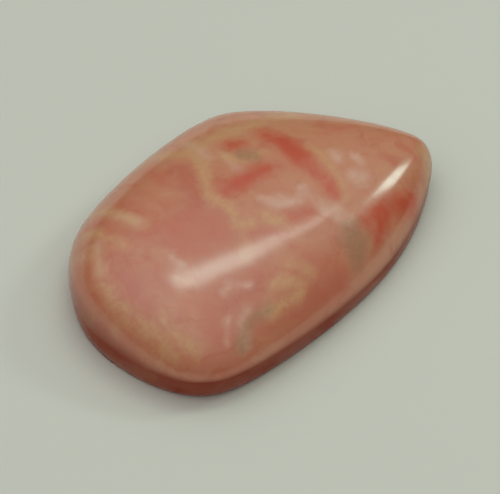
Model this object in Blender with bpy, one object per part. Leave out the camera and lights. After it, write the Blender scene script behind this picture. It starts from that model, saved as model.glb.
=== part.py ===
"""A polished rhodochrosite cabochon: one tumbled stone, domed on top and ground flat at the back.

The stone is a single solid. Its form is the soft hull of a few worn lumps, as tumbling leaves it:
every direction is faced by exactly one point of the surface, and that point is worked out here.

Run it with blender --background --python part.py, or from Blender's text editor.
Metres, +Z up. The origin is the middle of the flat back, and +X runs from the round heel to the tip.
"""

import math
from collections import namedtuple

import bmesh
import bpy
from mathutils import Vector

# Driving dimensions, in millimetres
EDGE_ROUNDING = 0.8  # how far the worn edge along the girdle, the widest line, is rounded over
BELLY = 0.3  # how far the underside of a lump bulges below its side
MELT = 0.9  # how softly neighbouring lumps run into each other
BACK_FILLET = 0.25  # half the height over which the ground back turns up into the side

# The worn lumps: the place of each one's middle, its radius at the girdle, the height of its dome
# above the girdle, the height of the girdle there above the flat back, and how deep the upright
# side runs down below the girdle before the back is ground
Lump = namedtuple("Lump", "x y radius dome girdle side")
LUMPS = (
    Lump(x=-14.0, y=-0.6, radius=1.6, dome=3.7, girdle=2.4, side=4.4),  # blunt corner of the heel
    Lump(x=-8.4, y=-5.8, radius=5.3, dome=3.2, girdle=2.9, side=2.8),  # round corner of the heel
    Lump(x=-9.4, y=2.5, radius=4.8, dome=4.0, girdle=2.8, side=1.8),  # crown
    Lump(x=2.2, y=6.6, radius=4.1, dome=2.4, girdle=2.6, side=2.8),  # shoulder
    Lump(x=13.7, y=-1.3, radius=1.8, dome=2.4, girdle=2.8, side=4.3),  # tip
    Lump(x=3.9, y=-0.8, radius=8.0, dome=3.4, girdle=1.8, side=2.8),  # waist
)

BALL = (1.5, 1.2, 1.0)  # stretch of the ball of directions, to share faces between dome and edge
COLUMNS = 72  # faces round the stone
ROWS = 40  # faces from the top of the dome to the middle of the back

ROSE_PINK = (0.60, 0.25, 0.18, 1.0)
POLISH_ROUGHNESS = 0.12
MILLIMETRE = 0.001


def clear_scene():
    for thing in list(bpy.data.objects):
        bpy.data.objects.remove(thing)


def dome_profile(facing_out, facing_up, reach, rise):
    """(run, climb) of the point of a dome that faces this way, from the middle of its foot.

    The dome is round at its pole and steepens towards its foot, where its radius of curvature
    runs down to nothing.
    """
    turn = math.atan2(facing_out, 2 * rise / reach * facing_up)
    run = reach * (1.5 * math.sin(turn) - 0.5 * math.sin(turn) ** 3)
    return run, rise * math.cos(turn) ** 3


def edge_profile(facing_out, facing_up, depth):
    """(run, climb) of the point of the worn edge that faces this way: an ellipse's own point.

    The ellipse is EDGE_ROUNDING wide and as deep as given, so a great depth is an upright side.
    """
    size = math.hypot(EDGE_ROUNDING * facing_out, depth * facing_up)
    return EDGE_ROUNDING**2 * facing_out / size, depth**2 * facing_up / size


def lump_point(lump, facing):
    """The point of one lump that faces the given unit direction, in millimetres.

    Above the girdle it is a dome with a round worn edge. Below, it is an upright side with a
    slightly bulging underside. Either way the edge's own point is added to the dome's.
    """
    out = math.hypot(facing.x, facing.y)
    up = abs(facing.z)
    above = facing.z >= 0
    rise = lump.dome - EDGE_ROUNDING if above else BELLY
    depth = EDGE_ROUNDING if above else lump.side
    dome_run, dome_climb = dome_profile(out, up, lump.radius - EDGE_ROUNDING, rise)
    edge_run, edge_climb = edge_profile(out, up, depth)
    along = (dome_run + edge_run) / out if out > 0 else 0
    climb = dome_climb + edge_climb
    return (
        lump.x + along * facing.x,
        lump.y + along * facing.y,
        lump.girdle + (climb if above else -climb),
    )


def ground_back(z):
    """The height after grinding: zero below the plane of the back, with a small fillet round it."""
    if z >= BACK_FILLET:
        return z
    if z <= -BACK_FILLET:
        return 0.0
    return (z + BACK_FILLET) ** 2 / (4 * BACK_FILLET)


def stone_point(facing):
    """The point of the soft hull that faces the given unit direction, in millimetres.

    Each lump counts by how far it stands out that way. The point is the mean of the lumps'
    own points, and is pushed out a little where several lumps stand out equally far.
    """
    points = [lump_point(lump, facing) for lump in LUMPS]
    stand_out = [sum(p * f for p, f in zip(point, facing)) for point in points]
    furthest = max(stand_out)
    shares = [math.exp((s - furthest) / MELT) for s in stand_out]
    total = sum(shares)
    shares = [share / total for share in shares]
    hull = furthest + MELT * math.log(total)
    push = hull - sum(share * s for share, s in zip(shares, stand_out))
    x, y, z = (
        sum(share * point[axis] for share, point in zip(shares, points)) + push * facing[axis]
        for axis in range(3)
    )
    return x, y, ground_back(z)


def stretched_ball_facing(place):
    """The direction in which a unit ball faces at this place once it is stretched to BALL."""
    return Vector(p / stretch for p, stretch in zip(place, BALL)).normalized()


def build_stone():
    """A ball of faces, each vertex moved to the point of the stone that faces the same way.

    The ball is thought of as stretched first, longer and wider than it is high. That shares the
    faces out between the flat dome and the tight edge.
    """
    form = bmesh.new()
    bmesh.ops.create_uvsphere(form, u_segments=COLUMNS, v_segments=ROWS, radius=1.0)
    for vertex in form.verts:
        vertex.co = stone_point(stretched_ball_facing(vertex.co))
    for axis in (0, 1):
        along = [vertex.co[axis] for vertex in form.verts]
        middle = (min(along) + max(along)) / 2
        for vertex in form.verts:
            vertex.co[axis] -= middle
    bmesh.ops.scale(form, vec=(MILLIMETRE,) * 3, verts=form.verts)
    mesh = bpy.data.meshes.new("stone")
    form.to_mesh(mesh)
    form.free()
    mesh.shade_smooth()
    stone = bpy.data.objects.new("stone", mesh)
    bpy.context.scene.collection.objects.link(stone)
    return stone


def polished_rhodochrosite():
    material = bpy.data.materials.new("rhodochrosite")
    material.use_nodes = True
    surface = material.node_tree.nodes["Principled BSDF"]
    surface.inputs["Base Color"].default_value = ROSE_PINK
    surface.inputs["Roughness"].default_value = POLISH_ROUGHNESS
    surface.inputs["Metallic"].default_value = 0.0
    return material


def main():
    clear_scene()
    stone = build_stone()
    stone.data.materials.append(polished_rhodochrosite())


main()
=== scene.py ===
# %% [markdown]
# # A polished rhodochrosite cabochon
# The real object is one small stone: a drop-shaped piece of rhodochrosite, domed and polished on
# top and ground flat at the back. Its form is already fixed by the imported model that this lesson
# loads. What is left to make is the fine surface, the pink marbling, the polish, and the plain
# paper and soft light that show them.

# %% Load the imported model
import math
from collections import namedtuple

import bpy
import numpy as np
from mathutils import Matrix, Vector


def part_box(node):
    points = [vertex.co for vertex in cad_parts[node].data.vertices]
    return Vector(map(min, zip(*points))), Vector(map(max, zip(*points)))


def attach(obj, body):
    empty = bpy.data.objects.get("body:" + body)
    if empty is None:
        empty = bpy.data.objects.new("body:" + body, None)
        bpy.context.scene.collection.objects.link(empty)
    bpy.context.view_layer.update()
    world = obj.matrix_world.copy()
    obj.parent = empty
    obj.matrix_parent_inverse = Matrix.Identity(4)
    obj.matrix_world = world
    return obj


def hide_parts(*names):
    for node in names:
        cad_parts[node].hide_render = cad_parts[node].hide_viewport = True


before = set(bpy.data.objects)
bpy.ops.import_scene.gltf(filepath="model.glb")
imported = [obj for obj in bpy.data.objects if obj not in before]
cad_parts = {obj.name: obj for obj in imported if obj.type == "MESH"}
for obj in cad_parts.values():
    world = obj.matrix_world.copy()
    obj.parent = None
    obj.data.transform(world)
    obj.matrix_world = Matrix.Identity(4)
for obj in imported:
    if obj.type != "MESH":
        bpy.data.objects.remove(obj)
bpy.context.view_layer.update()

MM = 0.001
box_low, box_high = (np.array(corner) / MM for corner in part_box("stone"))
print("the stone's box, mm:", (box_high - box_low).round(2))

# %% [markdown]
# ## Where the camera stands
# The camera comes first, because the veins are drawn where the photograph shows them, and that
# needs the way from a place on the stone to a pixel. The camera looks down from 55 degrees above
# the paper, 160 mm away, with a long lens. The photograph gives neither the angle nor the
# distance, so both are estimates, with which the stone's outline fits.

# %% The camera's place and lens
PHOTO_WIDTH, PHOTO_HEIGHT = 500, 494
VIEW_TURN = math.radians(-32)  # round from the stone's long side
VIEW_RISE = math.radians(55)  # above the paper
VIEW_DISTANCE = 160.0  # in mm, as the next three are
LENS, SENSOR = 145.15, 36.0
AIM = np.array([-0.31, 0.165, 0.0])  # the place on the paper in the middle of the picture

to_right = np.array([math.cos(VIEW_TURN), math.sin(VIEW_TURN), 0.0])
away = np.array([-math.sin(VIEW_TURN), math.cos(VIEW_TURN), 0.0])
to_camera = np.array([0.0, 0.0, math.sin(VIEW_RISE)]) - away * math.cos(VIEW_RISE)
upward = np.cross(to_camera, to_right)
eye = AIM + VIEW_DISTANCE * to_camera


def seen_at(places):
    """Pixels at which places in mm are seen.

    The step from the eye is split into right, up and depth. Right over depth and up over depth,
    times the lens in pixels, count from the middle of the picture.
    """
    step = places - eye
    scale = LENS / SENSOR * PHOTO_WIDTH / -(step @ to_camera)
    across = PHOTO_WIDTH / 2 + scale * (step @ to_right)
    down = PHOTO_HEIGHT / 2 - scale * (step @ upward)
    return np.stack([across, down], -1)


camera = bpy.data.objects.new("camera", bpy.data.cameras.new("camera"))
camera.data.lens = LENS
camera.data.sensor_width = SENSOR
camera.data.sensor_fit = "HORIZONTAL"
camera.data.clip_start = 0.01
camera.location = eye * MM
camera.rotation_euler = (math.pi / 2 - VIEW_RISE, 0.0, VIEW_TURN)
bpy.context.scene.collection.objects.link(camera)
bpy.context.scene.camera = camera
print("the middle of the stone is seen at", seen_at(np.zeros(3)).round(1))

# %% [markdown]
# ## The fine surface of the stone
# Tumbling and polishing leave no edge anywhere, so every direction is faced by exactly one point
# of the stone. It could be sculpted, or subdivided from a few faces, but then its highlights would
# follow the control faces. Here the surface is worked out: a few worn lumps are each given the
# point that faces a direction, and the stone's own point is a soft choice of the furthest one.
# The lumps are those of the imported solid, so the two have one form. The heights of their tops were
# set one by one. The rest comes from a least-squares fit to the outline, the ridge and the dark band
# in the photograph, rounded to 0.1 mm.

# %% The worn lumps, in millimetres
EDGE_ROUNDING = 0.8  # how far the worn edge along the girdle is rounded over
BELLY = 0.3  # how far a lump's underside bulges below its side
MELT = 0.9  # how softly the lumps run together
BACK_FILLET = 0.25  # half the height over which the ground back turns up
TINY = 1e-9  # keeps a division from failing at zero

#                 x     y  radius dome girdle side
LUMPS = np.array([(-14.0, -0.6, 1.6, 3.7, 2.4, 4.4),  # blunt corner of the heel
                  (-8.4, -5.8, 5.3, 3.2, 2.9, 2.8),  # round corner of the heel
                  (-9.4, 2.5, 4.8, 4.0, 2.8, 1.8),  # crown
                  (2.2, 6.6, 4.1, 2.4, 2.6, 2.8),  # shoulder
                  (13.7, -1.3, 1.8, 2.4, 2.8, 4.3),  # tip
                  (3.9, -0.8, 8.0, 3.4, 1.8, 2.8)])  # waist
print(len(LUMPS), "worn lumps, the widest", 2 * LUMPS[:, 2].max(), "mm across")


# %% The point of every lump that faces a direction
def lump_points(facing):
    """Points of all the lumps, one layer for each, that face the given unit directions.

    Let t be the angle whose tangent is out over up, divided by twice rise over reach. The dome's
    point lies reach times (1.5 sin t - 0.5 sin cubed t) out and rise times cos cubed t up. The
    worn edge adds the point of an ellipse: its width squared times out, and its depth squared
    times up, over the root of (width times out) squared plus (depth times up) squared. Above the
    girdle rise is the dome's height less the edge's, and depth is the width again. Below it rise
    is the belly, counted downwards, and depth is the lump's upright side.
    """
    x, y, radius, dome, girdle, side = LUMPS.T[:, :, None, None]
    up = facing[..., 2]
    out = np.hypot(facing[..., 0], facing[..., 1])
    reach = radius - EDGE_ROUNDING
    rise = np.where(up >= 0, dome - EDGE_ROUNDING, BELLY)
    depth = np.where(up >= 0, EDGE_ROUNDING, side)
    t = np.arctan2(out, 2 * rise / reach * np.abs(up))
    size = np.hypot(EDGE_ROUNDING * out, depth * up)
    run = reach * (1.5 * np.sin(t) - 0.5 * np.sin(t) ** 3) + EDGE_ROUNDING**2 * out / size
    height = np.sign(up) * rise * np.cos(t) ** 3 + depth**2 * up / size
    along = run / np.maximum(out, TINY)
    return np.stack([x + along * facing[..., 0], y + along * facing[..., 1], girdle + height], -1)


straight_up = np.array([[[0.0, 0.0, 1.0]]])
print("the tops of the lumps are at, mm:", lump_points(straight_up)[..., 2].ravel().round(2))


# %% [markdown]
# A hard choice of the furthest lump would leave flats between the lumps, with an edge round each
# lump. So every lump counts by how far it stands out in that direction, and the choice is soft.

# %% The soft choice between the lumps
def soft_hull(facing):
    """Point of the whole stone that faces each direction.

    Each lump's share is the exponential of how far it stands out that way over MELT, divided by
    the sum of all. The point is the mean of the lumps' points by share, moved out along the
    direction to MELT times the logarithm of that sum.
    """
    points = lump_points(facing)
    stand_out = (points * facing).sum(-1)
    furthest = stand_out.max(0)
    shares = np.exp((stand_out - furthest) / MELT)
    total = shares.sum(0)
    shares /= total
    push = furthest + MELT * np.log(total) - (shares * stand_out).sum(0)
    return (shares[..., None] * points).sum(0) + push[..., None] * facing


print("the top of the stone is at, mm:", soft_hull(straight_up).ravel().round(2))

# %% [markdown]
# Hand polishing leaves a dome very slightly wavy. It is far too little to see as a shape, but it
# makes the edge of a reflection wander, as it does on the real stone. It is put in the mesh. The
# back was ground on a flat plate: what is below the plane of the back is cut off, with a small
# fillet round it.

# %% Polishing waves and the ground back
WAVES = 0.010  # the most that they stand out, in mm
# How quickly each wave runs along x, y and z, in radians for each mm
WAVE_STEPS = np.array([(0.9, 0.5, 0.3), (-0.6, 1.1, 0.2), (1.3, -0.8, 0.6), (0.4, 1.7, -0.9)])


def polishing_waves(places):
    """Height of the waves, in mm: the mean of four sines that run four ways, times WAVES.

    Each sine is a radian further along than the one before it.
    """
    return WAVES * np.sin(places @ WAVE_STEPS.T + np.arange(len(WAVE_STEPS))).mean(-1)


def grind_back(height):
    """Zero below the plane of the back, the height itself above it, and a parabola between."""
    fillet = (height + BACK_FILLET) ** 2 / (4 * BACK_FILLET)
    return np.where(height >= BACK_FILLET, height, np.where(height <= -BACK_FILLET, 0.0, fillet))


print("a place at the plane of the back is lifted", grind_back(0.0).round(3), "mm by the fillet")

# %% [markdown]
# The whole surface is one function of two angles on a ball, so its mesh is a plain grid with a
# pole at the top and one at the bottom. An even ball would give the flat dome only a few large
# faces, because all of it faces nearly up. A stretched ball shares the faces out better.

# %% The surface as a function of two parameters
BALL = np.array([6.0, 4.5, 1.0])  # stretch of the ball, to keep the faces small on the flat dome
COLUMNS, ROWS = 448, 200  # faces round the stone, and from its top to the middle of its back


def stone_surface(turn, tilt):
    """Places on the stone, and the directions that they face, for two angles on a ball.

    The ball is stretched by BALL, which turns its facing to the place over the stretch. The
    stone's point is the one that faces the same way.
    """
    ball = np.stack([np.cos(turn) * np.sin(tilt), np.sin(turn) * np.sin(tilt), np.cos(tilt)], -1)
    facing = ball / BALL
    facing /= np.linalg.norm(facing, axis=-1, keepdims=True)
    places = soft_hull(facing)
    places += polishing_waves(places)[..., None] * facing
    places[..., 2] = grind_back(places[..., 2])
    return places, facing


def open_grid(rows_of):
    """One top pole, the rows between and one bottom pole, from a full grid of rows."""
    return np.concatenate([rows_of[0, :1], rows_of[1:-1].reshape(-1, 3), rows_of[-1, :1]])


turn, tilt = np.meshgrid(np.arange(COLUMNS) * 2 * np.pi / COLUMNS, np.linspace(0, np.pi, ROWS + 1))
places, facing = map(open_grid, stone_surface(turn, tilt))
own_low, own_high = places.min(0), places.max(0)
places = box_low + (places - own_low) * (box_high - box_low) / (own_high - own_low)
print("own size against the packed solid:", ((own_high - own_low) / (box_high - box_low)).round(4))


# %% [markdown]
# The grid becomes one closed mesh. The last column is joined to the first, so there is no seam, and
# each pole is a single vertex with a fan of triangles. The finished stone takes the place of the
# packed one, which is hidden, and rides on the body root.

# %% The mesh, with its seam and poles closed
def ring(row):
    """Numbers of the vertices in one row between the poles."""
    return 1 + row * COLUMNS + np.arange(COLUMNS)


def rounded_mesh(name, points):
    """A mesh of quads between neighbouring rings, with a fan of triangles at either pole."""
    upper = np.stack([ring(row) for row in range(ROWS - 2)])
    lower = upper + COLUMNS
    quads = np.stack([upper, lower, np.roll(lower, -1, 1), np.roll(upper, -1, 1)], -1)
    quads = quads.reshape(-1, 4)
    first, last = ring(0), ring(ROWS - 2)
    top_fan = np.stack([np.zeros_like(first), first, np.roll(first, -1)], -1)
    bottom_fan = np.stack([np.full_like(last, len(points) - 1), np.roll(last, -1), last], -1)
    mesh = bpy.data.meshes.new(name)
    mesh.from_pydata(points.tolist(), [], quads.tolist() + top_fan.tolist() + bottom_fan.tolist())
    mesh.shade_smooth()
    return mesh


stone_mesh = rounded_mesh("polished_stone", places * MM)
stone = bpy.data.objects.new("polished_stone", stone_mesh)
bpy.context.scene.collection.objects.link(stone)
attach(stone, "root")
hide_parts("stone")
print("the stone has", len(stone_mesh.vertices), "vertices and", len(stone_mesh.polygons), "faces")

# %% [markdown]
# ## The veins
# Rhodochrosite grows in layers, and later cracks fill with cream calcite and grey-green ore. Each
# vein is a sheet through the whole stone, which leans a little, and the polished dome cuts it.
# Painting an image on the stone would blur, and would stop at the edge of the view. Here a vein
# is a line with a width, drawn over the photograph's frame, laid on the stone, and carried
# through it along the lean. The mesh keeps, for each family of veins, how deep every place lies
# inside the nearest one. The material turns that depth into colour.

# %% The red veins, each a list of (pixel across, pixel down, half-width in mm)
RED = {
    "arc": [(262, 134, .5), (274, 138, .65), (292, 149, .9), (306, 161, .8), (318, 173, .7),
            (328, 184, .55), (336, 196, .35)],
    "streak": [(227, 189, .6), (239, 183, .75), (254, 175, .7), (267, 169, .5), (280, 166, .25)],
    "spot": [(230, 145, .35), (241, 142, .3)],
    "tip_patch": [(368, 216, .6), (388, 209, 1.2), (412, 203, .9)],
    "tip_patch_foot": [(382, 222, .8), (378, 236, .4)],
    "middle_spot": [(292, 216, .35), (303, 213, .45), (312, 211, .3)],
}
WINE = {
    "left_patch": [(172, 172, .5), (182, 170, .8), (190, 182, 1.0), (193, 194, .9)],
    "near_edge": [(262, 326, .3), (281, 318, .4), (298, 312, .3)],
    "near_corner": [(308, 302, .7), (325, 291, .8), (341, 278, .6)],
    "tip_patch": [(380, 238, .5), (374, 254, .3)],
    "heel": [(125, 258, .5), (130, 283, .75), (141, 305, .6)],
    "heel_side": [(103, 262, .4), (107, 283, .5), (120, 303, .4)],
    "under_hook": [(232, 300, .25), (250, 292, .3), (270, 276, .3)],
    "patch_above_streak": [(250, 231, .35), (268, 229, .35)],
}
print(len(RED), "red veins and", len(WINE), "wine-red ones")

# %% [markdown]
# Between the strong red veins the real stone has many faint ones, only a shade deeper than its
# body: rings round the heel, hooks on the near side, threads towards the tip and a round patch.
# Without them the stone would look plain, so they are drawn too, most of them thin.

# %% The blush veins
BLUSH = {
    "heel_band": [(92, 226, .25), (118, 232, .3), (145, 235, .35), (156, 233, .3)],
    "heel_hook": [(130, 202, .25), (150, 212, .35), (158, 225, .3)],
    "heel_ring": [(88, 255, .25), (87, 272, .25), (96, 293, .3), (113, 315, .35), (138, 333, .35),
                  (156, 346, .3)],
    "heel_inner": [(115, 310, .4), (136, 327, .45)],
    "heel_foot": [(168, 335, .3), (186, 352, .4)],
    "round_patch": [(165, 222, .5), (184, 229, 1.2), (204, 224, 1.3), (222, 232, .9)],
    "patch_tail": [(168, 243, .5), (186, 250, .7), (205, 250, .5)],
    "upper_left": [(146, 172, .5), (163, 181, .55)],
    "left_edge": [(131, 186, .15), (148, 196, .25), (164, 206, .3)],
    "top_edge": [(180, 136, .4), (212, 121, .45), (240, 115, .45), (262, 113, .3)],
    "middle": [(250, 231, .3), (272, 231, .3)],
    "arc_below": [(240, 281, .3), (256, 276, .4), (275, 272, .4), (297, 271, .3)],
    "arc_right": [(293, 246, .4), (310, 253, .5), (318, 265, .5), (319, 277, .4)],
    "right_hook": [(331, 262, .4), (343, 275, .5), (338, 291, .5)],
    "near_right": [(300, 322, .25), (318, 303, .35), (338, 285, .25)],
    "thread": [(188, 302, .4), (205, 305, .5), (213, 328, .5), (218, 338, .4)],
    "tip_thread": [(295, 131, .2), (318, 133, .25), (338, 128, .22), (355, 126, .15)],
    "tip_dash": [(372, 138, .2), (397, 135, .22)],
    "tip_dash_two": [(375, 155, .18), (393, 158, .2)],
    "tip_end": [(405, 147, .35), (415, 157, .3)],
}
print(len(BLUSH), "blush veins")

# %% [markdown]
# Cream calcite fills the widest cracks: one long vein over the crown, a band along the far edge, a
# hook on the near side and slanting lines over the heel.

# %% The cream veins
CREAM = {
    "long_vein": [(166, 155, .35), (187, 153, .4), (200, 165, .4), (205, 180, .4), (208, 195, .4),
                  (225, 203, .45), (235, 215, .45), (240, 226, .45), (252, 223, .35)],
    "top_band": [(187, 151, .4), (210, 140, .45), (230, 132, .45), (250, 127, .4), (267, 120, .35),
                 (292, 116, .3)],
    "below_spot": [(222, 155, .2), (243, 160, .3), (262, 152, .2)],
    "middle_hook": [(267, 215, .3), (275, 222, .35), (285, 220, .3)],
    "beside_arc": [(308, 146, .25), (325, 160, .3), (340, 182, .35), (343, 200, .35)],
    "near_hook": [(272, 285, .35), (290, 281, .45), (302, 283, .4), (300, 293, .45), (280, 307, .5),
                  (268, 312, .45)],
    "heel_line": [(100, 211, .2), (120, 216, .25), (140, 222, .25)],
    "heel_line_two": [(85, 235, .2), (105, 237, .25), (125, 245, .2)],
    "heel_slant": [(137, 315, .3), (155, 335, .4), (167, 350, .4), (175, 357, .3)],
    "heel_slant_two": [(107, 302, .25), (130, 320, .35)],
    "heel_slant_three": [(92, 250, .2), (100, 280, .25), (112, 300, .25)],
    "foot_slant": [(162, 320, .25), (182, 342, .35), (197, 355, .3)],
    "tip": [(422, 150, .5), (430, 168, .6), (427, 184, .45)],
    "arc": [(287, 267, .2), (305, 267, .2), (310, 277, .2)],
}
print(len(CREAM), "cream veins")

# %% [markdown]
# A few spots are grey-green, where ore sits in the calcite, and a few are milky, most where pale
# calcite lies just below the polish. They are drawn as short and wide veins.

# %% The grey-green and milky spots
MOSS = {
    "upper": [(243, 153, .55), (255, 156, .5)],
    "oval": [(350, 233, .9), (356, 245, 1.2), (360, 257, .8)],
    "near": [(266, 310, .35), (254, 318, .5), (246, 330, .5), (243, 344, .45)],
}
MILK = {
    "middle": [(264, 199, .35), (281, 201, .7), (297, 202, .5)],
    "line": [(302, 187, .25), (318, 203, .35), (335, 214, .4), (350, 220, .4)],
    # The next three are only small pale specks near the tip, drawn in the milky colour.
    "upper_speck": [(336, 154, .5), (339, 158, .5)],
    "right_speck": [(357, 158, .4), (359, 161, .4)],
    "big_speck": [(352, 174, .55), (361, 178, .55)],
    "beside_moss": [(250, 310, .3), (240, 322, .35), (246, 343, .35)],
    "upper_left": [(195, 146, .6), (210, 158, .4)],
    "upper_middle": [(225, 158, .25), (238, 168, .25)],
    "heel": [(97, 250, .35), (100, 270, .35)],
    "heel_line": [(120, 216, .2), (137, 222, .25)],
    "above_streak": [(170, 256, .2), (182, 264, .2)],
    "below_streak": [(228, 289, .25), (250, 285, .25)],
    "foot": [(228, 322, .2), (226, 340, .25)],
}
VEINS = {"red": RED, "wine": WINE, "blush": BLUSH, "cream": CREAM, "moss": MOSS, "milk": MILK}
print(sum(len(family) for family in VEINS.values()), "veins in", len(VEINS), "families")

# %% [markdown]
# A drawn pixel is laid on the stone by looking for the vertex that the camera sees nearest to it.
# From there the lean takes it down to the bed, the plane that the stone was cut parallel to.

# %% From a pixel to the bed of the stone
LEAN = np.array([0.45, -0.30])  # sideways shift of a vein sheet for each mm of height
WANDER = 0.22  # how far a sheet wanders from its plane, in mm
WANDER_RATIO = 1.3  # how much quicker it wanders along the bed's second axis
# How quickly each part of the wander runs along x, y and z, in radians for each mm
WANDER_STEPS = np.array([(1.1, 0.7, 0.5), (-0.8, 1.3, -0.4), (2.3, -1.6, 0.9), (1.9, 2.2, -1.3)])


def on_bed(points):
    """Place on the bed under each point: across it, less the lean times the height, and a wander.

    The wander is WANDER times the mean of four sines of the place along the first axis, and of
    four cosines, quicker by WANDER_RATIO, along the second. It leaves no vein straight.
    """
    ways = points @ WANDER_STEPS.T
    wander = np.stack([np.sin(ways).mean(-1), np.cos(ways * WANDER_RATIO).mean(-1)], -1)
    return points[..., :2] - LEAN * points[..., 2:] + WANDER * wander


visible = ((eye - places) * facing).sum(-1) > 0
visible_places = places[visible]
visible_pixels = seen_at(visible_places)


def under_pixels(pixels):
    """Bed places under drawn pixels, each taken from the visible vertex seen nearest to it."""
    gaps = visible_pixels[None] - np.array(pixels, float)[:, None]
    return on_bed(visible_places[(gaps ** 2).sum(-1).argmin(1)])


print(f"{visible.mean():.0%} of the vertices face the camera")

# %% [markdown]
# How deep a place lies inside a vein could be worked out in the material, but that would take
# several nodes for each stretch of a line. It is worked out here instead, once for every vertex,
# and kept on the mesh as an attribute. The faces are a fraction of a millimetre wide, fine enough
# for the veins' soft edges.

# %% How deep every vertex lies inside each family of veins
def depth_inside(family, bed):
    """Half-width less distance to the nearest drawn line of a family, in mm, for every vertex.

    Along each stretch of a line the nearest point is found by projection, held between its ends,
    and the half-width runs evenly from one end to the other.
    """
    deepest = np.full(len(bed), -np.inf)
    for line in family.values():
        corners = under_pixels([point[:2] for point in line])
        widths = [point[2] for point in line]
        for start, end, width, next_width in zip(corners, corners[1:], widths, widths[1:]):
            stretch = end - start
            share = np.clip((bed - start) @ stretch / (stretch @ stretch + TINY), 0, 1)
            gap = np.linalg.norm(bed - start - share[:, None] * stretch, axis=1)
            deepest = np.maximum(deepest, width + share * (next_width - width) - gap)
    return deepest


def keep_on_mesh(name, values):
    """One number for every vertex, kept as a named attribute."""
    attribute = stone_mesh.attributes.new(name, "FLOAT", "POINT")
    attribute.data.foreach_set("value", values.astype(np.float32))


bed = on_bed(places)
for name, family in VEINS.items():
    depth = depth_inside(family, bed)
    keep_on_mesh(name, depth)
    print(f"{name}: {len(family)} veins over {np.mean(depth > 0):.0%} of the vertices")

# %% [markdown]
# The heel shows fine growth layers that curve round one place on the dome, where the mineral
# began to grow. The mesh keeps the distance from it as well, so that the layers are arcs, and how
# far each place lies towards the heel. It also keeps how much each place faces up, for the side.

# %% The growth layers' distance from their middle
NUCLEUS_PIXEL = (195, 245)
FROM_HEEL = np.array([0.93, 0.37])  # unit direction on the bed, away from the heel
nucleus = under_pixels([NUCLEUS_PIXEL])[0]
keep_on_mesh("growth", np.linalg.norm(bed - nucleus, axis=1))
keep_on_mesh("toward_heel", (nucleus - bed) @ FROM_HEEL)
keep_on_mesh("facing_up", facing[:, 2])
print("the layers curve round", nucleus.round(1), "on the bed")

# %% [markdown]
# ## The stone's material
# The colour is mixed in layers: the body, its growth layers, each family of veins over it, and
# then the painted shade of the side. Light goes a little way into the stone, so part of the
# diffuse light is subsurface, and the polish is a plain glossy surface.
# Object coordinates or from the mesh, because a picture laid on the stone would only fit one view.

# %% A short way to write nodes
material = bpy.data.materials.new("rhodochrosite")
material.use_nodes = True
nodes, links = material.node_tree.nodes, material.node_tree.links
nodes.clear()


def add(kind, sockets, **settings):
    """A node with its settings, and its sockets by name or number: a value, or a socket to link."""
    node = nodes.new("ShaderNode" + kind)
    for name, value in settings.items():
        setattr(node, name, value)
    for name, value in sockets.items():
        if isinstance(value, bpy.types.NodeSocket):
            links.new(value, node.inputs[name])
        else:
            node.inputs[name].default_value = value
    return node


def sums(operation, *values):
    """The result of one Math node."""
    return add("Math", dict(enumerate(values)), operation=operation).outputs[0]


def fade(value, start, end, share=1.0):
    """Zero up to start and the whole share from end on, with a smooth step between."""
    sockets = {"Value": value, "From Min": start, "From Max": end, "To Max": share}
    return add("MapRange", sockets, interpolation_type="SMOOTHSTEP").outputs[0]


def layer(share, under, over):
    """The over colour laid on the under colour by share."""
    return add("Mix", {0: share, 6: under, 7: over}, data_type="RGBA").outputs[2]


def kept(name):
    """What the mesh keeps under this name."""
    return add("Attribute", {}, attribute_name=name).outputs["Fac"]


print("the material is empty, with", len(nodes), "nodes")

# %% [markdown]
# Nothing on the stone is even, at any size. Three noises on Object coordinates stand for that:
# clouds, a mottle and a fine grain. The second and third channels of a noise's colour don't follow
# its value, so they serve as noises of their own.

# %% Noise on the stone
place = add("TexCoord", {}).outputs["Object"]


def noise(size, detail=3.0, roughness=0.5, distortion=0.0):
    """Noise with blotches of about this size in mm: its value, and its three colour channels."""
    sockets = {"Vector": place, "Scale": 1 / (size * MM), "Detail": detail,
               "Roughness": roughness, "Distortion": distortion}
    made = add("TexNoise", sockets)
    apart = add("SeparateColor", {0: made.outputs["Color"]})
    return made.outputs[0], apart.outputs


clouds, clouds_apart = noise(size=5.0, detail=4.0, roughness=0.6, distortion=0.8)
mottle, mottle_apart = noise(size=1.6, detail=4.0, roughness=0.55, distortion=0.5)
grain, grain_apart = noise(size=0.35, detail=3.0, roughness=0.6)
print("clouds, mottle and grain take", len(nodes), "nodes")

# %% [markdown]
# The body is salmon pink, cloudy at 5 mm and mottled at 1.6 mm, with a fine grain, and turns to
# peach towards the shoulder and the tip. Towards the shoulder, on the far side, the peach is partly
# painted light, which makes the far side lighter. A single pink would look like plastic. Every noise
# stays near 0.5, so each fade below begins and ends not far from there.

# %% The colours of the body, each as linear red, green and blue
DEEP_ROSE = (0.60, 0.170, 0.090, 1)
ROSE = (0.64, 0.230, 0.130, 1)
PEACH = (0.72, 0.345, 0.190, 1)
PALE_ROSE = (0.65, 0.242, 0.148, 1)

body = layer(fade(clouds, 0.40, 0.62), ROSE, PALE_ROSE)
body = layer(fade(clouds_apart[2], 0.50, 0.65, share=0.5), body, PEACH)
toward_shoulder = add("SeparateXYZ", {0: place}).outputs["Y"]
# Partly painted light: peach towards the shoulder makes the far side lighter.
body = layer(fade(toward_shoulder, 0.0, 7.0 * MM, share=0.45), body, PEACH)
body = layer(fade(kept("toward_heel"), -1.0, -13.0, share=0.55), body, PEACH)
body = layer(fade(mottle, 0.48, 0.74, share=0.6), body, DEEP_ROSE)
body = layer(fade(grain, 0.48, 0.75, share=0.3), body, PALE_ROSE)
print("with the body's colours there are", len(nodes), "nodes")

# %% [markdown]
# The heel gets the growth layers, pale and deep in turn. They are a noise of one number, the kept
# distance, so they are arcs, and the clouds bend them.

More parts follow.
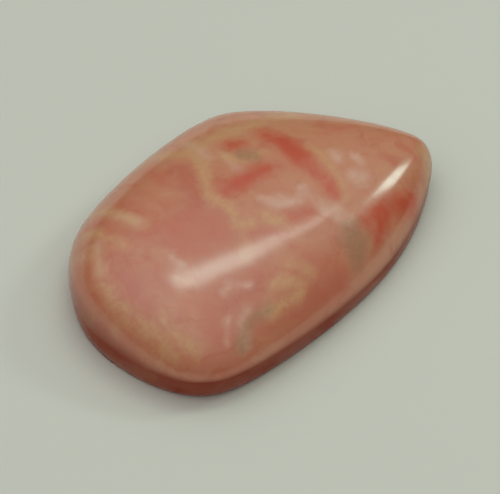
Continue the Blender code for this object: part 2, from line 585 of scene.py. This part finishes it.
# %% The growth layers of the heel
BEND = 2.5  # how far in mm the clouds can push a layer
LAYERS_A_MM = 1.1  # how many layers there are in a mm, about

growth = sums("MULTIPLY_ADD", clouds_apart[1], BEND, kept("growth"))
one_way = {"W": growth, "Scale": LAYERS_A_MM, "Detail": 1.0}
layers = add("TexNoise", one_way, noise_dimensions="1D").outputs[0]
at_heel = fade(kept("toward_heel"), 1.0, 5.5)
body = layer(sums("MULTIPLY", fade(layers, 0.50, 0.66, share=0.35), at_heel), body, PALE_ROSE)
body = layer(sums("MULTIPLY", fade(layers, 0.50, 0.32, share=0.55), at_heel), body, DEEP_ROSE)
print("with the growth layers there are", len(nodes), "nodes")

# %% [markdown]
# The real veins have soft and ragged edges, and a sharp mask would look like paint. So noise is
# added to the depth inside a vein before it becomes a share of colour. That makes the edge ragged
# in a finer way than the mesh could hold. The faint blush goes first and the strong red last.

# %% The families of veins over the body
RED_OF_VEINS = (0.65, 0.118, 0.060, 1)
WINE_OF_VEINS = (0.61, 0.175, 0.108, 1)
BLUSH_OF_VEINS = (0.66, 0.195, 0.112, 1)
CREAM_OF_VEINS = (0.72, 0.41, 0.200, 1)
MOSS_OF_VEINS = (0.46, 0.240, 0.130, 1)
MILK_OF_VEINS = (0.80, 0.50, 0.37, 1)

# Softness is the half-width in mm over which a vein fades into the body. Ragged is how far in mm
# the coarse noise can move its edge, and the fine noise moves it a third as far.
Family = namedtuple("Family", "name colour softness ragged share coarse fine")
FAMILIES = (
    Family("blush", BLUSH_OF_VEINS, 0.75, 2.2, 0.70, clouds_apart[0], mottle_apart[0]),
    Family("wine", WINE_OF_VEINS, 0.75, 1.8, 0.75, mottle_apart[2], mottle_apart[0]),
    Family("milk", MILK_OF_VEINS, 0.60, 1.5, 0.75, mottle_apart[1], mottle_apart[0]),
    Family("cream", CREAM_OF_VEINS, 0.65, 1.5, 0.80, mottle_apart[2], grain_apart[1]),
    Family("moss", MOSS_OF_VEINS, 0.75, 1.4, 0.85, mottle_apart[0], grain_apart[2]),
    Family("red", RED_OF_VEINS, 0.80, 1.2, 0.98, mottle_apart[1], mottle_apart[2]),
)
MIDDLE = 0.5  # of every noise
THINNEST = 0.75  # share of its colour that a vein keeps where the noise thins it most

colour = body
for family in FAMILIES:
    coarse = sums("SUBTRACT", family.coarse, MIDDLE)
    pushed = sums("MULTIPLY_ADD", coarse, family.ragged, kept(family.name))
    fine = sums("SUBTRACT", family.fine, MIDDLE)
    pushed = sums("MULTIPLY_ADD", fine, family.ragged / 3, pushed)
    thinned = sums("ADD", fade(family.fine, 0.35, 0.6, share=1 - THINNEST), THINNEST)
    inside = fade(pushed, -family.softness, family.softness, family.share)
    colour = layer(sums("MULTIPLY", inside, thinned), colour, family.colour)
print("with", len(FAMILIES), "families of veins there are", len(nodes), "nodes")

# %% [markdown]
# In the photograph the side below the girdle is far deeper in colour than the dome, because it
# stands in its own shade. It could be left to the shade of this scene alone, but then it is too
# pale and too grey. So shade is painted into the side's colour, a little unevenly, and its polish
# is made duller, both by how little it faces up. In full light the real side may well be paler.

# %% The painted shade of the side
# Painted shade: the side's colour is multiplied by this dark tint where it faces little up.
SIDE_PAINTED_SHADE = (0.50, 0.175, 0.10, 1)
SIDE_FROM, SIDE_WHOLE = 0.42, -0.02  # how much a place faces up where the tint begins and is whole
UNEVEN = 0.1  # share of the tint that is missing where the clouds are thinnest

evenness = sums("SUBTRACT", 1.0, fade(clouds_apart[0], 0.60, 0.42, share=UNEVEN))
painted_side_shade = sums("MULTIPLY", fade(kept("facing_up"), SIDE_FROM, SIDE_WHOLE), evenness)
tinted = {0: painted_side_shade, 6: colour, 7: SIDE_PAINTED_SHADE}
colour = add("Mix", tinted, data_type="RGBA", blend_type="MULTIPLY").outputs[2]
print(f"{np.mean(facing[:, 2] < SIDE_FROM):.0%} of the vertices, on side and back, are tinted")

# %% [markdown]
# The polish is bright but not a mirror: the stone is soft, so a fine haze stays. The surface also
# follows the mottle a little, and the softer cream veins are left a trace lower. Both are far too
# low for the mesh, so they are a bump, the only one here.

# %% The polished surface
SMOOTHEST, HAZIEST = 0.13, 0.18  # roughness where the grain is low and high
DOME_SHEEN, SIDE_SHEEN = 0.5, 0.02
INDEX = 1.6
LIGHT_SHARE = 0.35  # share of the diffuse light that goes into the stone
LIGHT_REACH = 0.6 * MM  # how far it spreads there, red furthest
RELIEF = 0.01 * MM  # the height that the bump gives to a mottle of one
CREAM_LOWER = -0.4  # what a cream vein adds to the mottle there, so that it lies lower

haze = add("MapRange", {"Value": grain, "From Min": 0.3, "From Max": 0.7,
                        "To Min": SMOOTHEST, "To Max": HAZIEST}).outputs[0]
relief = sums("ADD", sums("MULTIPLY", fade(kept("cream"), -0.1, 0.1), CREAM_LOWER), mottle)
bump = add("Bump", {"Height": relief, "Strength": 0.25, "Distance": RELIEF}).outputs[0]
# The polish is also duller where the side's shade is painted.
sheen = sums("MULTIPLY_ADD", painted_side_shade, SIDE_SHEEN - DOME_SHEEN, DOME_SHEEN)
surface = add("BsdfPrincipled", {
    "Base Color": colour, "Roughness": haze, "Normal": bump, "Metallic": 0.0, "IOR": INDEX,
    "Specular IOR Level": sheen, "Subsurface Weight": LIGHT_SHARE,
    "Subsurface Radius": (1.0, 0.5, 0.35), "Subsurface Scale": LIGHT_REACH})
add("OutputMaterial", {"Surface": surface.outputs[0]})
stone_mesh.materials.append(material)
print("the stone's material has", len(nodes), "nodes")

# %% [markdown]
# ## Paper and light
# The stone lies on plain pale paper, which looks a little green in the photograph. One flat square
# is enough. It is wide, so that its edge is out of sight, and lies a hair below the stone's back,
# so that the two don't touch.

# %% The paper
PAPER_WIDTH = 1.2  # in metres
PAPER_GAP = 0.02 * MM
PAPER_COLOUR = (0.75, 0.76, 0.67, 1)

half = PAPER_WIDTH / 2
paper_mesh = bpy.data.meshes.new("paper")
paper_mesh.from_pydata([(-half, -half, -PAPER_GAP), (half, -half, -PAPER_GAP),
                        (half, half, -PAPER_GAP), (-half, half, -PAPER_GAP)], [], [(0, 1, 2, 3)])
paper = bpy.data.objects.new("paper", paper_mesh)
paper_material = bpy.data.materials.new("paper")
paper_material.use_nodes = True
sheet = paper_material.node_tree.nodes["Principled BSDF"]
sheet.inputs["Base Color"].default_value = PAPER_COLOUR
sheet.inputs["Roughness"].default_value = 0.9
sheet.inputs["Specular IOR Level"].default_value = 0.1
paper_mesh.materials.append(paper_material)
bpy.context.scene.collection.objects.link(paper)
print("the paper is", PAPER_WIDTH, "m wide")

# %% [markdown]
# A long strip lamp hangs above the stone and a little beyond it, and a small lamp hangs past the
# strip's end. A polished dome shows each of them where it faces half-way between the lamp and the
# camera: the strip as the long streak down the dome, and the small lamp as the bright spot near
# the tip. The streak thins out towards the tip, so the strip's far end is a lamp of its own,
# narrower and dimmer.

# %% The lamps
LAMP_HEIGHT = 500.0  # above the paper, in mm
LAMP_TINT = (0.78, 1.0, 0.88)  # a tube's light, a little green beside the ceiling's


def lamp_place(right_share, away_share):
    """A place in mm at lamp height, by shares of that height to the camera's right and away."""
    return LAMP_HEIGHT * (right_share * to_right + away_share * away + np.array([0.0, 0.0, 1.0]))


def strip_lamp(name, start, end, width, watts):
    """An area lamp from one place to another, as wide as given in mm, that faces the stone."""
    lamp = bpy.data.lights.new(name, "AREA")
    lamp.shape = "RECTANGLE"
    lamp.size, lamp.size_y = np.linalg.norm(end - start) * MM, width * MM
    lamp.energy = watts
    lamp.color = LAMP_TINT
    holder = bpy.data.objects.new(name, lamp)
    middle = (start + end) / 2
    along = (end - start) / np.linalg.norm(end - start)
    back = middle / np.linalg.norm(middle)
    across = np.cross(back, along)
    across /= np.linalg.norm(across)
    back = np.cross(along, across)
    holder.rotation_euler = Matrix(np.stack([along, across, back], 1).tolist()).to_euler()
    holder.location = middle * MM
    bpy.context.scene.collection.objects.link(holder)


strip_start, strip_join = lamp_place(0.03, 0.18), lamp_place(0.38, 0.29)
strip_end = lamp_place(0.58, 0.335)
small_start, small_end = lamp_place(0.95, 0.38), lamp_place(1.40, 0.42)
strip_lamp("long_strip", strip_start, strip_join, width=60, watts=0.19)
strip_lamp("dim_end", strip_join, strip_end, width=36, watts=0.045)
strip_lamp("small_lamp", small_start, small_end, width=110, watts=0.90)
print("the strip is", round(float(np.linalg.norm(strip_end - strip_start))), "mm long in all")

# %% [markdown]
# Most of the light is soft and comes from above, a little from the left: the paper is evenly lit,
# and the shadow is widest at the stone's lower right. A large area lamp would show its own edges
# in the polish, so the world itself glows. Its glow falls off from one brightest place as the
# cosine of the angle from there, raised to a power.

# %% The soft ceiling
CEILING, WALLS = 1.38, 0.01  # what the ceiling adds at its brightest, and what glows everywhere
BRIGHTEST = (-0.10, 0.0)  # where its middle is, by the same shares as the lamps
CEILING_SPREAD = 3.0  # a higher power gathers the light nearer to its middle

world = bpy.data.worlds.new("room")
world.use_nodes = True
bpy.context.scene.world = world
nodes, links = world.node_tree.nodes, world.node_tree.links
brightest = lamp_place(*BRIGHTEST)
brightest /= np.linalg.norm(brightest)
both_ways = {0: add("TexCoord", {}).outputs["Generated"], 1: brightest.tolist()}
cosine = add("VectorMath", both_ways, operation="DOT_PRODUCT").outputs["Value"]
gathered = sums("POWER", sums("MAXIMUM", cosine, 0.0), CEILING_SPREAD)
glow = sums("MULTIPLY_ADD", gathered, CEILING, WALLS)
links.new(glow, nodes["Background"].inputs["Strength"])
nodes["Background"].inputs["Color"].default_value = (1, 1, 1, 1)
bpy.context.scene.view_settings.view_transform = "Standard"
print("the ceiling is brightest towards", brightest.round(2))
